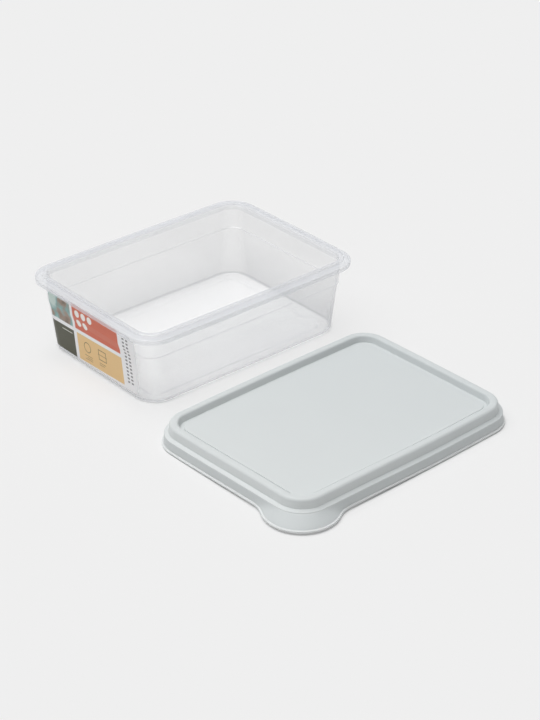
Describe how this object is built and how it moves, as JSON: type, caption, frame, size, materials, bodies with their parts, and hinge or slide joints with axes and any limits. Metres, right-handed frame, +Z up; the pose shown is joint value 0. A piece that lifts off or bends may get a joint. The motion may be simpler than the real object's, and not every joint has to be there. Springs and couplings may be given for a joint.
{
  "type": "food storage container",
  "caption": "Shallow rectangular clear tub with a push-on lid lying beside it; the lid has a sunken panel and a finger tab at one corner.",
  "frame": {"origin": "on the floor, under the middle of the box around tub and lid together", "axes": "+X along the tub's long sides, +Y from the lid towards the tub, +Z up"},
  "size_m": [0.2656, 0.3906, 0.071],
  "materials": {
    "tub_plastic": "clear, slightly milky glossy polypropylene",
    "lid_plastic": "pale sage grey satin plastic with a fine texture on the panel",
    "label_film": "printed white film in plain fields of colour, no words"
  },
  "bodies": {
    "root": {"tub": "tub_plastic", "lid": "lid_plastic", "label": "label_film"}
  },
  "joints": []
}
